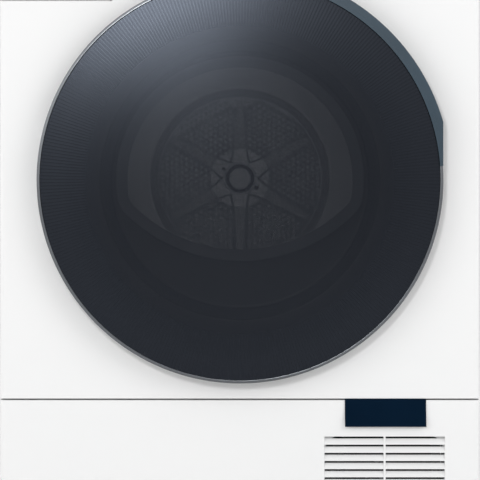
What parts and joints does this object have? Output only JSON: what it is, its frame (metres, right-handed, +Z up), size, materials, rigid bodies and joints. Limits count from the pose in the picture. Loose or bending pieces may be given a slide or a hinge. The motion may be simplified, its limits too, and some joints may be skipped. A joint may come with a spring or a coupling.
{
  "type": "clothes dryer",
  "caption": "Front-loading heat-pump clothes dryer with a round domed glass door, turning drum, slide-out water container and louvred plinth flap.",
  "frame": {"origin": "centre of the base of the whole machine's box, at floor level", "axes": "+X to the right seen from the front, the front faces -Y, +Z up"},
  "size_m": [0.596, 0.643, 0.85],
  "materials": {
    "white_enamel": "satin",
    "drum_steel": "brushed",
    "zinc_sheet": "dull galvanised",
    "rim_metal": "satin",
    "dark_plastic": "matte",
    "grey_plastic": "matte",
    "dark_glass": "polished, tinted",
    "window_glass": "polished",
    "petrol_grip": "satin",
    "navy_tab": "satin",
    "seal_rubber": "matte",
    "fin_aluminium": "plain"
  },
  "bodies": {
    "casing": {"worktop": "white_enamel", "side_panel_left": "white_enamel", "side_panel_right": "white_enamel", "front_panel": "white_enamel", "control_fascia": "white_enamel", "display_module": "dark_plastic", "rear_panel": "zinc_sheet", "rear_duct_cover": "zinc_sheet", "power_inlet": "dark_plastic", "base_pan": "grey_plastic", "exchanger_cover": "grey_plastic", "evaporator": "fin_aluminium", "condenser": "fin_aluminium", "compressor": "dark_plastic", "condensate_pump": "dark_plastic", "front_bulkhead": "zinc_sheet", "lint_filter": "dark_plastic", "drum_bearing": "zinc_sheet", "drum_belt": "seal_rubber", "motor_body": "drum_steel", "fan_housing": "grey_plastic", "idler_spring": "drum_steel", "door_hinge_plate": "drum_steel", "lock_housing": "dark_plastic", "tank_bay": "grey_plastic"},
    "door": {"door_glass": "dark_glass", "door_rim": "rim_metal", "door_grip": "petrol_grip", "door_frame": "dark_plastic", "door_liner": "dark_plastic", "door_window": "window_glass", "door_seal": "seal_rubber", "latch_hook": "drum_steel", "door_hinge_arm": "drum_steel"},
    "drum": {"drum_shell": "drum_steel", "drum_rear_wall": "drum_steel", "drum_hub": "drum_steel", "lifter_1": "dark_plastic", "lifter_2": "dark_plastic", "lifter_3": "dark_plastic"},
    "rotor": {"motor_shaft": "drum_steel", "process_fan": "dark_plastic"},
    "left_roller": {"support_roller_left": "seal_rubber"},
    "right_roller": {"support_roller_right": "seal_rubber"},
    "tensioner": {"idler_arm": "zinc_sheet"},
    "tensioner_pulley": {"idler_pulley": "dark_plastic"},
    "drawer": {"drawer_front": "white_enamel", "water_tank": "grey_plastic"},
    "selector": {"selector_knob": "rim_metal"},
    "button": {"start_button": "rim_metal"},
    "flap": {"plinth_flap": "white_enamel", "flap_tab": "navy_tab"},
    "left_latch": {"cover_latch_left": "dark_plastic"},
    "right_latch": {"cover_latch_right": "dark_plastic"},
    "cooler": {"cooling_fan": "dark_plastic"},
    "lever": {"lock_lever": "zinc_sheet"},
    "foot_fl": {"foot_front_left": "dark_plastic"},
    "foot_fr": {"foot_front_right": "dark_plastic"},
    "foot_rl": {"foot_rear_left": "dark_plastic"},
    "foot_rr": {"foot_rear_right": "dark_plastic"}
  },
  "joints": [
    {"name": "door_hinge", "type": "hinge", "parent": "casing", "child": "door", "pos_m": [-0.2366, -0.294, 0.475], "axis": [0, 0, -1], "range_deg": [0, 130]},
    {"name": "drum_spin", "type": "hinge", "parent": "casing", "child": "drum", "pos_m": [0, 0.02, 0.475], "axis": [0, 1, 0], "continuous": true},
    {"name": "motor_spin", "type": "hinge", "parent": "casing", "child": "rotor", "pos_m": [0.17, 0.112, 0.119], "axis": [0, 1, 0], "continuous": true},
    {"name": "left_roller_spin", "type": "hinge", "parent": "casing", "child": "left_roller", "pos_m": [-0.18858, -0.197, 0.23363], "axis": [0, 1, 0], "continuous": true},
    {"name": "right_roller_spin", "type": "hinge", "parent": "casing", "child": "right_roller", "pos_m": [0.18858, -0.197, 0.23363], "axis": [0, 1, 0], "continuous": true},
    {"name": "tensioner_swing", "type": "hinge", "parent": "casing", "child": "tensioner", "pos_m": [0.10384, 0.121, 0.10216], "axis": [0, 1, 0], "range_deg": [0, 5], "stiffness_Nm_per_rad": 1.2, "springref_deg": -20.05},
    {"name": "tensioner_pulley_spin", "type": "hinge", "parent": "tensioner", "child": "tensioner_pulley", "pos_m": [0.06, 0.112, 0.146], "axis": [0, 1, 0], "continuous": true},
    {"name": "drawer_slide", "type": "slide", "parent": "casing", "child": "drawer", "axis": [0, -1, 0], "range_m": [0, 0.36]},
    {"name": "selector_turn", "type": "hinge", "parent": "casing", "child": "selector", "pos_m": [0.071, -0.2755, 0.779], "axis": [0, 1, 0], "continuous": true},
    {"name": "start_press", "type": "slide", "parent": "casing", "child": "button", "axis": [0, 1, 0], "range_m": [0, 0.002], "stiffness_N_per_m": 400},
    {"name": "flap_hinge", "type": "hinge", "parent": "casing", "child": "flap", "pos_m": [0, -0.262, 0.027], "axis": [1, 0, 0], "range_deg": [0, 90]},
    {"name": "left_latch_turn", "type": "hinge", "parent": "casing", "child": "left_latch", "pos_m": [-0.226, -0.245, 0.189], "axis": [0, 1, 0], "range_deg": [0, 90]},
    {"name": "right_latch_turn", "type": "hinge", "parent": "casing", "child": "right_latch", "pos_m": [-0.04, -0.245, 0.189], "axis": [0, -1, 0], "range_deg": [0, 90]},
    {"name": "cooler_spin", "type": "hinge", "parent": "casing", "child": "cooler", "pos_m": [0.1794, -0.222, 0.1], "axis": [0, 1, 0], "continuous": true},
    {"name": "lever_swing", "type": "hinge", "parent": "casing", "child": "lever", "pos_m": [0.216, -0.2505, 0.492], "axis": [-1, 0, 0], "range_deg": [0, 10], "stiffness_Nm_per_rad": 0.05, "springref_deg": -11.46},
    {"name": "foot_fl_turn", "type": "hinge", "parent": "casing", "child": "foot_fl", "pos_m": [-0.252, -0.222, 0.01], "axis": [0, 0, 1], "continuous": true},
    {"name": "foot_fr_turn", "type": "hinge", "parent": "casing", "child": "foot_fr", "pos_m": [0.252, -0.222, 0.01], "axis": [0, 0, 1], "continuous": true},
    {"name": "foot_rl_turn", "type": "hinge", "parent": "casing", "child": "foot_rl", "pos_m": [-0.252, 0.222, 0.01], "axis": [0, 0, 1], "continuous": true},
    {"name": "foot_rr_turn", "type": "hinge", "parent": "casing", "child": "foot_rr", "pos_m": [0.252, 0.222, 0.01], "axis": [0, 0, 1], "continuous": true}
  ],
  "couplings": [
    {"joint": "motor_spin", "follows": "drum_spin", "ratio": 29.947},
    {"joint": "left_roller_spin", "follows": "drum_spin", "ratio": -12.909},
    {"joint": "right_roller_spin", "follows": "drum_spin", "ratio": -12.909},
    {"joint": "tensioner_pulley_spin", "follows": "drum_spin", "ratio": 13.878}
  ]
}
